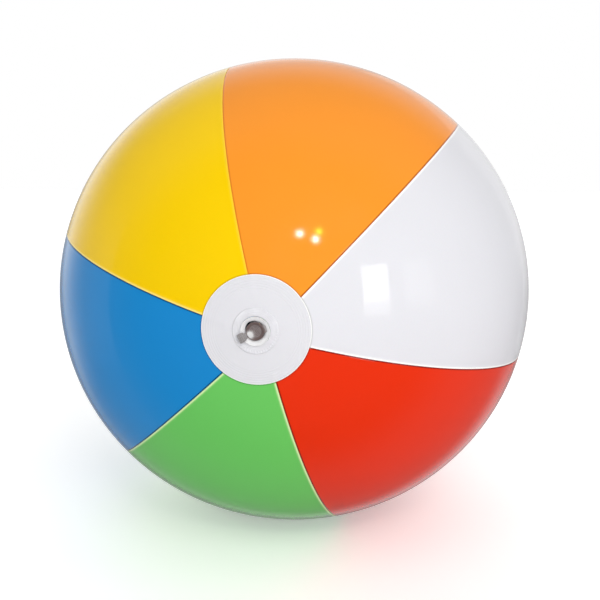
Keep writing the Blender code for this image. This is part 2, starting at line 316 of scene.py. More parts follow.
def film_material(name, colour, edge_highlight_colour, groove_colour, gloss):
    """A glossy printed film in one colour."""
    made = bpy.data.materials.new(name)
    made.use_nodes = True
    nodes, links = made.node_tree.nodes, made.node_tree.links
    shader = nodes["Principled BSDF"]
    shader.inputs["IOR"].default_value = 1.5
    shader.inputs["Specular IOR Level"].default_value = 0.5
    finish = nodes.new("ShaderNodeGroup")
    finish.node_tree = FILM_FINISH
    finish.inputs["Colour"].default_value = (*colour, 1)
    finish.inputs["Edge Highlight Colour"].default_value = (*edge_highlight_colour, 1)
    finish.inputs["Groove Shade Colour"].default_value = (*groove_colour, 1)
    finish.inputs["Gloss"].default_value = gloss
    for label, socket in (("edge_highlight", "Edge Highlight"), ("groove", "Groove Shade")):
        mask = nodes.new("ShaderNodeAttribute")
        mask.attribute_name = label
        links.new(mask.outputs["Fac"], finish.inputs[socket])
    links.new(finish.outputs["Colour"], shader.inputs["Base Color"])
    links.new(finish.outputs["Roughness"], shader.inputs["Roughness"])
    links.new(finish.outputs["Normal"], shader.inputs["Normal"])
    return made


# Name, film colour, cut edge colour (the film's pale core with a painted highlight on its bead), colour of
#  the painted shade in the groove, whether its edges lie on top, and how strongly the edge or groove shows
#  at each of its two seams: it is faint where yellow meets orange.
GORES = (
    ("orange", (0.94, 0.31, 0.027), (1.0, 0.5, 0.2), (0.42, 0.09, 0.008), False, (0.35, 1.0)),
    ("white", (0.74, 0.74, 0.785), (1.0, 0.99, 0.97), (0.5, 0.5, 0.5), True, (1.0, 1.0)),
    ("red", (0.775, 0.032, 0.006), (0.9, 0.3, 0.2), (0.22, 0.006, 0.004), False, (1.0, 1.0)),
    ("green", (0.146, 0.56, 0.118), (0.7, 0.88, 0.45), (0.03, 0.2, 0.03), True, (1.0, 1.0)),
    ("blue", (0.0115, 0.24, 0.60), (0.3, 0.5, 0.8), (0.003, 0.05, 0.16), False, (1.0, 1.0)),
    ("yellow", (0.92, 0.60, 0.0015), (0.98, 0.78, 0.2), (0.4, 0.25, 0.0), True, (1.0, 0.15)),
)


def build_gore(index):
    """Make one gore between its two seams, from tip to tip."""
    name, colour, edge_highlight_colour, groove_colour, on_top, strengths = GORES[index]
    right, left = math.radians(SEAMS[index]), math.radians(SEAMS[index + 1])
    outer, inner = [], []
    masks = {"edge_highlight": [], "groove": []}
    columns = gore_columns(on_top)
    for polar in row_angles():
        above, below = [], []
        by_rim = min(polar, math.pi - polar) * BALL_RADIUS < DISC_RADIUS + RIM_MARGIN
        for share, distance, height, edge, groove in columns:
            inset = distance / (BALL_RADIUS * math.sin(polar))
            angle = (right - inset) * (1 - share) + (left + inset) * share
            pressed = rim_press_and_shade(on_ball(polar, angle, 0.0)) if by_rim else 0.0
            height -= RIM_GROOVE * pressed
            above.append(on_ball(polar, angle, height))
            below.append(on_ball(polar, angle, height - FILM))
            shown = strengths[0] * (1 - share) + strengths[1] * share
            # By a disc's rim the cut edge's highlight fades, and painted shadow darkens the film.
            masks["edge_highlight"].append(edge * shown * (1 - pressed))
            masks["groove"].append(max(groove * shown, 0.75 * pressed))
        outer.append(above)
        inner.append(below)
    mesh = shell_mesh("film_gore_" + name, outer, inner, False, masks)
    finish = film_material("printed_film_" + name, colour, edge_highlight_colour, groove_colour, GORE_GLOSS)
    gore = add_piece("film_gore_" + name, mesh, finish, "ball", "film_" + name, "gore_" + name)
    gore.cycles.shadow_terminator_geometry_offset = SHADOW_OFFSET


for place in range(len(GORES)):
    build_gore(place)


# ======================================================================================
# The two end discs. Each is a round of white film laid over the gores' tips and welded
# down in a band with a ringed electrode, which leaves fine concentric ridges. The laps
# of the seams under it lift it in six low radial humps. One disc has a hole for the valve.
# ======================================================================================

DISC_LIFT = FILM + 0.03 * MM
WELD_RINGS = (23.1, 24.4, 25.7, 27.1, 28.5)
WELD_BAND_START = 21.5 * MM
INNER_ROWS = 30
WELD_BAND_ROWS = 90
DISC_SIDES = 216
HUMP_HEIGHT = 0.16
DISC_WHITE = (0.725, 0.722, 0.765)
# A painted highlight along the disc's cut rim, and a painted groove shade that the discs leave unused.
DISC_RIM_HIGHLIGHT = (0.98, 0.98, 0.97)
DISC_GROOVE_SHADE = (0.5, 0.5, 0.5)
DISC_GLOSS = 0.085
PINHOLE = 0.05 * MM


def seam_hump(across, up):
    """How far the laps below lift the disc, from 0 to 1, at a place seen along Y."""
    reach = math.hypot(across, up)
    if reach < TIP_RADIUS:
        return 0.0
    turn = math.atan2(up, across)
    lifted = 0.0
    for seam in SEAMS[:-1]:
        apart = (turn - math.radians(seam) + math.pi) % (2 * math.pi) - math.pi
        lifted = max(lifted, bell(apart * reach / MM, 0.0, 2.2))
    return lifted * ease(reach / MM, TIP_RADIUS / MM, TIP_RADIUS / MM + 2)


def disc_height(radius, across, up):
    """Height of an end disc over the gores, in metres, at a distance from its own middle."""
    from_middle = radius / MM
    rings = sum(bell(from_middle, ring, 0.3) for ring in WELD_RINGS)
    hollow = -0.05 * ease(from_middle, 21.8, 22.8)
    lip = 0.06 * bell(from_middle, 29.6, 0.25) - 0.12 * bell(from_middle, 30.0, 0.15)
    swell = 0.12 * bell(from_middle, 15.0, 5.0)
    hump = HUMP_HEIGHT * seam_hump(across, up)
    return DISC_LIFT + (0.085 * rings + hollow + lip + swell + hump) * MM


def place_on_ball(across, up, side, lift):
    """A point over the ball's film at a place seen along Y, on the valve side (-1) or the far side."""
    reach = BALL_RADIUS + lift
    flat = up / (reach * HEIGHT_RATIO)
    outwards = reach * math.sqrt(1 - (across / reach) ** 2 - flat ** 2)
    return Vector((BALL_CENTRE.x + across, side * outwards, BALL_CENTRE.z + up))


def disc_rows(hole):
    """Radii from the hole to the rim, closer together in the weld band and at the rim."""
    across, band = WELD_BAND_START - hole, DISC_RADIUS - WELD_BAND_START
    inside = [hole + across * row / INNER_ROWS for row in range(INNER_ROWS)]
    return inside + [WELD_BAND_START + band * row / WELD_BAND_ROWS for row in range(WELD_BAND_ROWS + 1)]


def build_disc(name, node, centre_x, rise, side, hole):
    """Make one end disc round its own middle."""
    outer, inner, edge = [], [], []
    for radius in disc_rows(hole):
        ring, below = [], []
        for step in range(DISC_SIDES):
            turn = 2 * math.pi * step / DISC_SIDES
            across = centre_x + radius * math.cos(turn)
            up = rise + radius * math.sin(turn)
            height = disc_height(radius, across, up)
            ring.append(place_on_ball(across, up, side, height))
            below.append(place_on_ball(across, up, side, height - FILM))
            # A painted highlight along the disc's cut rim.
            edge.append(bell(radius / MM, DISC_RADIUS / MM, 0.35))
        outer.append(ring)
        inner.append(below)
    masks = {"edge_highlight": edge, "groove": [0.0] * len(edge)}
    mesh = shell_mesh(name, outer, inner, True, masks)
    finish = film_material(name + "_film", DISC_WHITE, DISC_RIM_HIGHLIGHT, DISC_GROOVE_SHADE, DISC_GLOSS)
    add_piece(name, mesh, finish, "ball", "film_disc", node)


FLANGE_HOLE = 8.1 * MM
build_disc("valve_end_round", "valve_end_disc", VALVE_X, VALVE_RISE, -1, FLANGE_HOLE)
build_disc("far_end_round", "far_end_disc", 0.0, 0.0, 1, PINHOLE)


# ======================================================================================
# The valve's flange: the flat ring of the soft PVC valve, welded on the outside of the
# white disc round its hole, so that it takes on the disc's white. The welding tool leaves
# three fine rings on it and, round its lower part, a row of short radial marks.
# ======================================================================================

FLANGE_GAP = 0.03 * MM
FLANGE_RADIUS = 12.8 * MM
FLANGE_THICK = 0.5
FLANGE_ROWS = 72
FLANGE_SIDES = 432
FLANGE_RINGS = (8.8, 9.6, 10.4)
MARKS = 48
MARKS_MIDDLE = math.radians(285)
MARKS_SPREAD = math.radians(82)


def pvc_finish_group():
    """Soft moulded PVC: painted shade where a dark hollow shows through it or lies between ribs, slightly
    cloudy, with an uneven skin.
    """
    group = new_group(
        "pvc_finish",
        (
            ("Colour", "NodeSocketColor", (1, 1, 1, 1)),
            ("Painted Shade Colour", "NodeSocketColor", (0, 0, 0, 1)),
            ("Painted Shade", "NodeSocketFloat", 0.0),
            ("Gloss", "NodeSocketFloat", 0.08),
            ("Scale", "NodeSocketFloat", 220.0),
        ),
        (("Colour", "NodeSocketColor"), ("Roughness", "NodeSocketFloat"), ("Normal", "NodeSocketVector")),
    )
    nodes, links = group.nodes, group.links
    given = nodes.new("NodeGroupInput")
    result = nodes.new("NodeGroupOutput")
    place = nodes.new("ShaderNodeTexCoord")
    texture = nodes.new("ShaderNodeTexNoise")
    texture.inputs["Detail"].default_value = 3.0
    links.new(place.outputs["Object"], texture.inputs["Vector"])
    links.new(given.outputs["Scale"], texture.inputs["Scale"])
    shade = nodes.new("ShaderNodeMix")
    shade.data_type = "RGBA"
    links.new(given.outputs["Painted Shade"], shade.inputs["Factor"])
    links.new(given.outputs["Colour"], shade.inputs["A"])
    links.new(given.outputs["Painted Shade Colour"], shade.inputs["B"])
    cloud = nodes.new("ShaderNodeMapRange")
    cloud.inputs["To Min"].default_value = 0.9
    cloud.inputs["To Max"].default_value = 1.1
    links.new(texture.outputs["Fac"], cloud.inputs["Value"])
    tone = nodes.new("ShaderNodeHueSaturation")
    links.new(cloud.outputs["Result"], tone.inputs["Value"])
    links.new(shade.outputs["Result"], tone.inputs["Color"])
    links.new(tone.outputs["Color"], result.inputs["Colour"])
    uneven = nodes.new("ShaderNodeMath")
    uneven.operation = "MULTIPLY_ADD"
    uneven.inputs[1].default_value = 0.12
    links.new(texture.outputs["Fac"], uneven.inputs[0])
    links.new(given.outputs["Gloss"], uneven.inputs[2])
    links.new(uneven.outputs["Value"], result.inputs["Roughness"])
    bump = nodes.new("ShaderNodeBump")
    bump.inputs["Strength"].default_value = 1.0
    bump.inputs["Distance"].default_value = 0.02 * MM
    links.new(texture.outputs["Fac"], bump.inputs["Height"])
    links.new(bump.outputs["Normal"], result.inputs["Normal"])
    return group


PVC_FINISH = pvc_finish_group()


def pvc_material(name, colour, painted_shade_colour, transmission, gloss, scale):
    """Clear or white moulded PVC, or clear PVC whitened as a painted sheen."""
    made = bpy.data.materials.new(name)
    made.use_nodes = True
    nodes, links = made.node_tree.nodes, made.node_tree.links
    shader = nodes["Principled BSDF"]
    shader.inputs["IOR"].default_value = 1.53
    shader.inputs["Transmission Weight"].default_value = transmission
    finish = nodes.new("ShaderNodeGroup")
    finish.node_tree = PVC_FINISH
    finish.inputs["Colour"].default_value = (*colour, 1)
    finish.inputs["Painted Shade Colour"].default_value = (*painted_shade_colour, 1)
    finish.inputs["Gloss"].default_value = gloss
    finish.inputs["Scale"].default_value = scale
    # The hollow mask paints shade: the dark bore seen through clear PVC, and the creases between ribs.
    mask = nodes.new("ShaderNodeAttribute")
    mask.attribute_name = "hollow"
    links.new(mask.outputs["Fac"], finish.inputs["Painted Shade"])
    links.new(finish.outputs["Colour"], shader.inputs["Base Color"])
    links.new(finish.outputs["Roughness"], shader.inputs["Roughness"])
    links.new(finish.outputs["Normal"], shader.inputs["Normal"])
    return made


def build_flange():
    """The ring, rounded at its outer edge, with the welding tool's rings and marks."""
    outer, inner = [], []
    for row in range(FLANGE_ROWS + 1):
        radius = FLANGE_HOLE + (FLANGE_RADIUS - FLANGE_HOLE) * row / FLANGE_ROWS
        from_axis = radius / MM
        body = 1 - 0.85 * ease(from_axis, 12.2, 12.8)
        rings = 0.1 * sum(bell(from_axis, place, 0.18) for place in FLANGE_RINGS)
        marked = ease(from_axis, 10.7, 10.8) * (1 - ease(from_axis, 12.0, 12.1))
        ring, below = [], []
        for step in range(FLANGE_SIDES):
            turn = 2 * math.pi * step / FLANGE_SIDES
            apart = abs((turn - MARKS_MIDDLE + math.pi) % (2 * math.pi) - math.pi)
            stretch = 1 - ease(apart, MARKS_SPREAD * 0.95, MARKS_SPREAD)
            mark = 0.2 * marked * stretch * ease(math.cos(turn * MARKS), 0.1, 0.6)
            across = VALVE_X + radius * math.cos(turn)
            up = VALVE_RISE + radius * math.sin(turn)
            lift = disc_height(radius, across, up) + FLANGE_GAP
            ring.append(place_on_ball(across, up, -1, lift + (FLANGE_THICK * body + rings + mark) * MM))
            below.append(place_on_ball(across, up, -1, lift))
        outer.append(ring)
        inner.append(below)
    mesh = shell_mesh("weld_flange", outer, inner, True)
    finish = pvc_material("welded_pvc", DISC_WHITE, DISC_WHITE, 0.0, 0.05, 260.0)
    add_piece("weld_flange", mesh, finish, "ball", "clear_pvc", "valve_flange")


build_flange()


# ======================================================================================
# The rolling collar: the thin part of the valve moulding between the flange and the stem, clear
#  PVC given a whitish colour that paints in its bright inner reflections. It rolls inwards when the
#  stem is pushed in, and turns inside out when it is pulled.
# ======================================================================================

FACE_TO_RIM = 0.7 * MM
FACE_Y = valve_low.y - FACE_TO_RIM
VALVE_SIDES = 96
STEM_RADIUS = (valve_high.x - valve_low.x) / 2
COLLAR_FOOT = STEM_RADIUS + 0.12 * MM
COLLAR_MOUTH = 7.45 * MM
COLLAR_LIP = 8.05 * MM
COLLAR_TOP = 0.66 * MM
COLLAR_DEPTH = 7.6 * MM
COLLAR_THICK = 0.45 * MM
COLLAR_STEPS = 26
COLLAR_WAIST = 0.2
SLACK_TURN = math.radians(140)
# Clear PVC painted whitish for the bright reflections in it.
WHITENED_SHEEN_COLOUR = (0.86, 0.86, 0.88)


def valve_point(radius, height, turn, sideways=0.0):
    """A point of the valve: distance from its axis, height out of the disc's face, angle round it."""
    across = VALVE_X + radius * math.cos(turn) - sideways * math.sin(turn)
    up = BALL_CENTRE.z + VALVE_RISE + radius * math.sin(turn) + sideways * math.cos(turn)
    return Vector((across, FACE_Y - height, up))


def turned_mesh(name, profile, ripple=None):
    """Turn a closed profile of (radius, height) round the valve's axis."""
    shape = bmesh.new()
    rings = []
    for radius, height in profile:
        if radius == 0:
            rings.append([shape.verts.new(valve_point(0, height, 0))])
        else:
            ring = []
            for step in range(VALVE_SIDES):
                turn = 2 * math.pi * step / VALVE_SIDES
                lift = ripple(radius, turn) if ripple else 0.0
                ring.append(shape.verts.new(valve_point(radius + lift, height, turn)))
            rings.append(ring)
    for near, far in zip(rings, rings[1:] + rings[:1]):
        for step in range(VALVE_SIDES):
            after = (step + 1) % VALVE_SIDES
            if len(near) > 1 and len(far) > 1:
                shape.faces.new((near[step], near[after], far[after], far[step]))
            elif len(near) > 1:
                shape.faces.new((near[step], near[after], far[0]))
            elif len(far) > 1:
                shape.faces.new((near[0], far[after], far[step]))
    bmesh.ops.recalc_face_normals(shape, faces=shape.faces)
    mesh = bpy.data.meshes.new(name)
    shape.to_mesh(mesh)
    shape.free()
    return mesh


def arc(centre, radius, start, end, steps):
    """Points of (radius, height) along a round corner, angles in degrees."""
    points = []
    for step in range(steps + 1):
        turn = math.radians(start + (end - start) * step / steps)
        points.append((centre[0] + radius * math.cos(turn), centre[1] + radius * math.sin(turn)))
    return points


def collar_pleats(radius, turn):
    """Slight soft waves where the collar is gathered in, and a slack fold on one side of the stem."""
    off_foot = ease(radius, COLLAR_FOOT, COLLAR_FOOT + 0.4 * MM)
    gathered = ease(COLLAR_LIP - radius, 0.8 * MM, 2.0 * MM) * off_foot
    aside = (turn - SLACK_TURN + math.pi) % (2 * math.pi) - math.pi
    slack = 0.7 * MM * bell(aside, 0, 0.75) * (1 - ease(radius, COLLAR_FOOT + COLLAR_THICK, COLLAR_MOUTH))
    return slack + 0.07 * MM * gathered * math.sin(9 * turn + 0.6 * math.sin(4 * turn))


def build_collar():
    """From a rounded lip at the flange, down a dished shoulder and along the stem's side."""
    roll = COLLAR_MOUTH - COLLAR_FOOT
    lip = (COLLAR_LIP - COLLAR_MOUTH) / 2
    profile = arc((COLLAR_MOUTH + lip, COLLAR_TOP), lip, 0, 180, 8)
    down = []
    for step in range(1, COLLAR_STEPS + 1):
        share = step / COLLAR_STEPS
        down.append((COLLAR_FOOT + roll * (1 - ease(share, -0.08, COLLAR_WAIST)), share * COLLAR_DEPTH))
    for radius, depth in down:
        profile.append((radius, COLLAR_TOP - depth))
    for radius, depth in reversed(down):
        profile.append((radius + COLLAR_THICK, COLLAR_TOP - COLLAR_THICK - depth))
    mesh = turned_mesh("rolling_collar", profile, collar_pleats)
    finish = pvc_material("whitened_sheen_pvc", WHITENED_SHEEN_COLOUR, WHITENED_SHEEN_COLOUR, 0.1, 0.1, 300.0)
    piece = add_piece("rolling_collar", mesh, finish, None, "clear_pvc", "valve_web")
    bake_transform(piece)


build_collar()


# ======================================================================================
# The stem: the clear tube that air goes in through. A mouth or a pump's nozzle fits its rim.
# Here it is pushed in, with its rim just under the level of the flange.
# ======================================================================================

BORE_RADIUS = 4.0 * MM
STEM_RIM = -FACE_TO_RIM
STEM_END = STEM_RIM - (valve_high.y - valve_low.y)
CLEAR_COLOUR = (0.80, 0.80, 0.82)
# The painted shade of the ball's dark inside, seen through clear PVC.
INSIDE_SHADE = (0.175, 0.125, 0.12)


def build_stem():
    """A plain tube with a rounded rim and softened corners round its inner end."""
    wall = STEM_RADIUS - BORE_RADIUS
    middle = BORE_RADIUS + wall / 2
    corner = 0.2 * MM
    profile = arc((middle, STEM_RIM - wall / 2), wall / 2, 0, 180, 10)
    profile += arc((BORE_RADIUS + corner, STEM_END + corner), corner, 180, 270, 4)
    profile += arc((STEM_RADIUS - corner, STEM_END + corner), corner, 270, 360, 4)
    mesh = turned_mesh("mouth_tube", profile)
    finish = pvc_material("clear_stem_pvc", CLEAR_COLOUR, INSIDE_SHADE, 0.6, 0.03, 240.0)
    add_piece("mouth_tube", mesh, finish, "stem", "clear_pvc", "valve_stem")


build_stem()


# ======================================================================================
# The plug: moulded with the valve in the same clear PVC. Its dished head has fine turned
# rings, its shank fits in the stem's bore, and a small tab at its edge is pulled to open it.
# ======================================================================================

PLUG_TOP = 0.7 * MM
PLUG_RADIUS = 5.0 * MM
PLUG_DISH = 1.35 * MM
DISH_RADIUS = 4.5 * MM
DISH_FLAT = 1.3 * MM
DISH_RINGS = 6
DISH_STEPS = 66
RING_HEIGHT = 0.06 * MM
PLUG_SHANK = 3.2 * MM
PLUG_ROOT_RADIUS = 3.7 * MM
PLUG_TIP_RADIUS = 2.8 * MM
TAB_ANGLE = math.radians(16.0)
TAB_REACH = 6.4 * MM
TAB_WIDTH = 4.6 * MM
TAB_SHADE = 0.6
# Direction of the painted glint on the plug's head.
GLINT_TURN = math.radians(216)
# The plug's clear colour, which also shows as the painted glint.
PLUG_AND_GLINT_COLOUR = (0.86, 0.86, 0.87)


def build_plug():
    """The head and shank in one turned shape."""
    rim = 0.32 * MM
    profile = [(0.0, PLUG_TOP - PLUG_DISH)]
    for step in range(1, DISH_STEPS + 1):
        share = step / DISH_STEPS
        radius = DISH_RADIUS * share
        rings = RING_HEIGHT * math.cos(2 * math.pi * DISH_RINGS * share) * (1 - ease(share, 0.55, 0.75))
        slope = math.hypot(radius, DISH_FLAT) - DISH_FLAT
        rise = slope / (math.hypot(DISH_RADIUS, DISH_FLAT) - DISH_FLAT)
        profile.append((radius, PLUG_TOP - PLUG_DISH * (1 - rise) + rings))
    profile += arc((PLUG_RADIUS - rim, PLUG_TOP - rim), rim, 90, 0, 6)
    under = STEM_RIM + 0.03 * MM
    profile += [
        (PLUG_RADIUS, under + 0.1 * MM),
        (PLUG_RADIUS - 0.1 * MM, under),
        (PLUG_ROOT_RADIUS + 0.25 * MM, under),
        (PLUG_ROOT_RADIUS, STEM_RIM - 0.3 * MM),
        (PLUG_TIP_RADIUS + 0.1 * MM, STEM_RIM - PLUG_SHANK + 0.3 * MM),
        (PLUG_TIP_RADIUS - 0.2 * MM, STEM_RIM - PLUG_SHANK),
        (0.0, STEM_RIM - PLUG_SHANK),
    ]
    finish = pvc_material("clear_plug_pvc", PLUG_AND_GLINT_COLOUR, INSIDE_SHADE, 0.2, 0.02, 200.0)
    shader = finish.node_tree.nodes["Principled BSDF"]
    shader.inputs["Coat Weight"].default_value = 1.0
    shader.inputs["Coat Roughness"].default_value = 0.06
    shader.inputs["Coat IOR"].default_value = 1.9
    return add_piece("stopper", turned_mesh("stopper", profile), finish, "plug", "clear_pvc", "valve_plug")


def build_tab():
    """The pull tab's own shape: a flat tongue, bevelled all round."""
    shape = bmesh.new()
    half = TAB_WIDTH / 2
    reaches = ((3.9 * MM, 0.8), (TAB_REACH - 1.2 * MM, 1.0), (TAB_REACH - 0.3 * MM, 0.8), (TAB_REACH, 0.45))
    sides = [(radius, share * half) for radius, share in reaches]
    sides += [(radius, -share * half) for radius, share in reversed(reaches)]
    layers = []
    for height in (0.0, PLUG_TOP - 0.12 * MM):
        places = [valve_point(radius, height, TAB_ANGLE, side) for radius, side in sides]
        layers.append([shape.verts.new(place) for place in places])
    shape.faces.new(layers[0])
    shape.faces.new(list(reversed(layers[1])))
    for index in range(len(sides)):
        after = (index + 1) % len(sides)
        shape.faces.new((layers[0][index], layers[0][after], layers[1][after], layers[1][index]))
    bmesh.ops.recalc_face_normals(shape, faces=shape.faces)
    bmesh.ops.bevel(shape, geom=shape.edges[:], offset=0.13 * MM, segments=3, affect="EDGES", profile=0.6)
    mesh = bpy.data.meshes.new("pull_tab_shape")
    shape.to_mesh(mesh)
    shape.free()
    tab = bpy.data.objects.new("pull_tab_shape", mesh)
    bpy.context.scene.collection.objects.link(tab)
    return tab


def join_shape(piece, extra):
    """Weld a second closed shape into a piece and drop it."""
    union = piece.modifiers.new("joined", "BOOLEAN")
    union.operation = "UNION"
    union.solver = "EXACT"
    union.object = extra
    bpy.context.view_layer.update()
    evaluated = piece.evaluated_get(bpy.context.evaluated_depsgraph_get())
    joined = bpy.data.meshes.new_from_object(evaluated)
    piece.modifiers.remove(union)
    piece.data = joined
    bpy.data.objects.remove(extra)


def mark_plug(mesh):
    """Paint shade where the dark bore shows through the plug, with painted lighter bands on its rings, a
    painted glint at the head's lower left, and painted shade on the tab.
    """
    mask = mesh.attributes.new("hollow", "FLOAT", "POINT")
    for index, point in enumerate(mesh.vertices):
        across = point.co.x - VALVE_X
        up = point.co.z - BALL_CENTRE.z - VALVE_RISE
        away = math.hypot(across, up)
        ring = 0.5 + 0.5 * math.cos(2 * math.pi * DISH_RINGS * away / DISH_RADIUS)
        shade = 1 - 0.26 * ring * (1 - ease(away, 3.2 * MM, 3.8 * MM))
        along = (across * math.cos(GLINT_TURN) + up * math.sin(GLINT_TURN)) / MM
        aside = (up * math.cos(GLINT_TURN) - across * math.sin(GLINT_TURN)) / MM
        # A painted glint on the dish's lower-left wall.
        painted_glint = 2.4 * bell(along, 3.4, 1.25) * bell(aside, 0.0, 1.6) * (1 - ease(away, 4.5 * MM, 4.8 * MM))
        on_head = 1 - ease(away, PLUG_RADIUS, PLUG_RADIUS + 0.1 * MM)
        head = max(shade - painted_glint, 0.0)
        mask.data[index].value = head * on_head + TAB_SHADE * (1 - on_head)


stopper = build_plug()
join_shape(stopper, build_tab())
mark_plug(stopper.data)


# ======================================================================================
# The strap that keeps the plug on the stem. It leaves the head's edge, doubles back over the
# flange in a tight ribbed bend, and runs down beside the stem to its root. It opens at that
# bend. The stretch on the head's side is a piece of its own, because it turns with the plug.
# ======================================================================================

STRAP_ANGLE = math.radians(206.0)
STRAP_WIDTH = 5.0 * MM
STRAP_THICK = 0.5 * MM
STRAP_BEND = 0.6 * MM
HINGE_REACH = 8.9 * MM
HINGE_HEIGHT = 1.65 * MM
BEND_STEPS = 12
STRAP_STEP = 0.12 * MM
RIB_SPACING = 0.55 * MM
RIB_HEIGHT = 0.09 * MM
STRAP_COLOUR = (0.58, 0.58, 0.59)

HEAD_LEG = [
    (4.75 * MM, 0.3 * MM),
    (5.2 * MM, 0.5 * MM),
    (5.7 * MM, 1.15 * MM),
    (6.4 * MM, 1.9 * MM),
    (7.3 * MM, 2.2 * MM),
    (8.0 * MM, HINGE_HEIGHT + STRAP_BEND),
]
ROOT_LEG = [
    (7.7 * MM, 1.03 * MM),
    (6.95 * MM, 0.8 * MM),
    (6.4 * MM, 0.1 * MM),
    (6.1 * MM, -0.9 * MM),
    (5.95 * MM, -2.2 * MM),
    (5.6 * MM, -3.4 * MM),
    (5.25 * MM, -4.0 * MM),
]


def smooth_route(points, spacing):
    """Points at an even spacing on a smooth curve through a route of (radius, height)."""
    knots = [Vector(point) for point in points]
    knots = [2 * knots[0] - knots[1]] + knots + [2 * knots[-1] - knots[-2]]
    fine = []
    for before, here, there, after in zip(knots, knots[1:], knots[2:], knots[3:]):
        steps = max(2, round((there - here).length / spacing))
        for step in range(steps):
            share = step / steps
            square, cube = share * share, share * share * share
            point = 2 * here + (there - before) * share
            point += (2 * before - 5 * here + 4 * there - after) * square
            point += (3 * here - before - 3 * there + after) * cube
            fine.append(point / 2)
    fine.append(knots[-2])
    return fine


def strap_mesh(name, points, width_at):
    """A flat strap with rounded edges and fine ribs across it, swept along its route."""
    route = smooth_route(points, STRAP_STEP)
    half = ((0.5, 0), (0.49, 0.28), (0.46, 0.5), (0.2, 0.5), (-0.2, 0.5), (-0.46, 0.5), (-0.49, 0.28))
    corners = half + tuple((-side, -face) for side, face in half)
    shape = bmesh.new()
    rings, ribs = [], []
    travelled = 0.0
    for index, point in enumerate(route):
        before, after = route[max(index - 1, 0)], route[min(index + 1, len(route) - 1)]
        travelled += (point - route[max(index - 1, 0)]).length
        along = (after - before).normalized()
        rib = RIB_HEIGHT * ease(math.cos(2 * math.pi * travelled / RIB_SPACING), -0.2, 0.8)
        ribs.append(rib)
        width = STRAP_WIDTH * width_at(index / (len(route) - 1))
        ring = []
        for side, face in corners:
            proud = rib if abs(face) == 0.5 and abs(side) < 0.4 else 0.0
            shift = face * STRAP_THICK + math.copysign(proud, face)
            reach, height = point.x - along.y * shift, point.y + along.x * shift
            ring.append(shape.verts.new(valve_point(reach, height, STRAP_ANGLE, side * width)))
        rings.append(ring)
    for near, far in zip(rings, rings[1:]):
        for index in range(len(corners)):
            after = (index + 1) % len(corners)
            shape.faces.new((near[index], near[after], far[after], far[index]))
    shape.faces.new(rings[0])
    shape.faces.new(list(reversed(rings[-1])))
    bmesh.ops.recalc_face_normals(shape, faces=shape.faces)
    mesh = bpy.data.meshes.new(name)
    shape.to_mesh(mesh)
    shape.free()
    # Painted shade in the hollows between the ribs, lighter on their crests.
    mask = mesh.attributes.new("hollow", "FLOAT", "POINT")
    for index, rib in enumerate(ribs):
        for corner in range(len(corners)):
            mask.data[index * len(corners) + corner].value = 0.75 * (1 - rib / RIB_HEIGHT)
    return mesh


strap_pvc = pvc_material("clear_strap_pvc", STRAP_COLOUR, INSIDE_SHADE, 0.35, 0.04, 240.0)
head_mesh = strap_mesh("strap_head_end", HEAD_LEG, lambda share: 0.62 + 0.38 * ease(share, 0, 1))
add_piece("strap_head_end", head_mesh, strap_pvc, "plug", "clear_pvc", "plug_tether")
bend = arc((HINGE_REACH, HINGE_HEIGHT), STRAP_BEND, 90, -90, BEND_STEPS)
bend_route = HEAD_LEG[-1:] + bend + ROOT_LEG
bend_mesh = strap_mesh("strap_bend", bend_route, lambda share: 1 - 0.3 * ease(share, 0.45, 1))
strap = add_piece("strap_bend", bend_mesh, strap_pvc, None, "clear_pvc", "plug_tether")
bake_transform(strap)


# ======================================================================================
# The check flap: a thin clear disc on the stem's inner end. Blowing lifts it, and the air
# inside presses it shut again.
# ======================================================================================

FLAP_RADIUS = 4.85 * MM
FLAP_THICK = 0.5 * MM


def build_flap():
    """A thin disc with a rounded edge, hinged at the top of the stem's inner end."""
    top = STEM_END - 0.05 * MM
    edge = FLAP_THICK / 2
    profile = [(0.0, top)]
    profile += arc((FLAP_RADIUS - edge, top - edge), edge, 90, -90, 8)
    profile += [(0.0, top - FLAP_THICK)]
    finish = pvc_material("clear_flap_pvc", CLEAR_COLOUR, INSIDE_SHADE, 0.7, 0.05, 240.0)
    add_piece("inner_flap", turned_mesh("inner_flap", profile), finish, "flap", "clear_pvc", "check_flap")


build_flap()


# ======================================================================================
# The studio: a plain pale floor, a pale surround, and soft light from above, the front, the
# left and behind. Soft boxes at the right, a panel behind and three small lamps make highlights.
# ======================================================================================

FLOOR_SIZE = 9.0
FLOOR_GLOW = 0.32
floor_mesh = bpy.data.meshes.new("studio_floor")
half_floor = FLOOR_SIZE / 2
floor_corners = [(half_floor * x, half_floor * y, 0) for x, y in ((-1, -1), (1, -1), (1, 1), (-1, 1))]
floor_mesh.from_pydata(floor_corners, [], [(0, 1, 2, 3)])
floor = bpy.data.objects.new("studio_floor", floor_mesh)
bpy.context.scene.collection.objects.link(floor)
floor_finish = bpy.data.materials.new("pale_floor")
floor_finish.use_nodes = True
floor_shader = floor_finish.node_tree.nodes["Principled BSDF"]
floor_shader.inputs["Base Color"].default_value = (0.92, 0.92, 0.92, 1)
floor_shader.inputs["Roughness"].default_value = 0.9
floor_shader.inputs["Specular IOR Level"].default_value = 0.1
floor_shader.inputs["Emission Color"].default_value = (1, 1, 1, 1)
floor_seen = floor_finish.node_tree.nodes.new("ShaderNodeLightPath")
floor_glow = floor_finish.node_tree.nodes.new("ShaderNodeMath")
floor_glow.operation = "MULTIPLY"
floor_glow.inputs[1].default_value = FLOOR_GLOW
floor_finish.node_tree.links.new(floor_seen.outputs["Is Camera Ray"], floor_glow.inputs[0])
floor_finish.node_tree.links.new(floor_glow.outputs["Value"], floor_shader.inputs["Emission Strength"])
floor_mesh.materials.append(floor_finish)
floor.visible_glossy = False


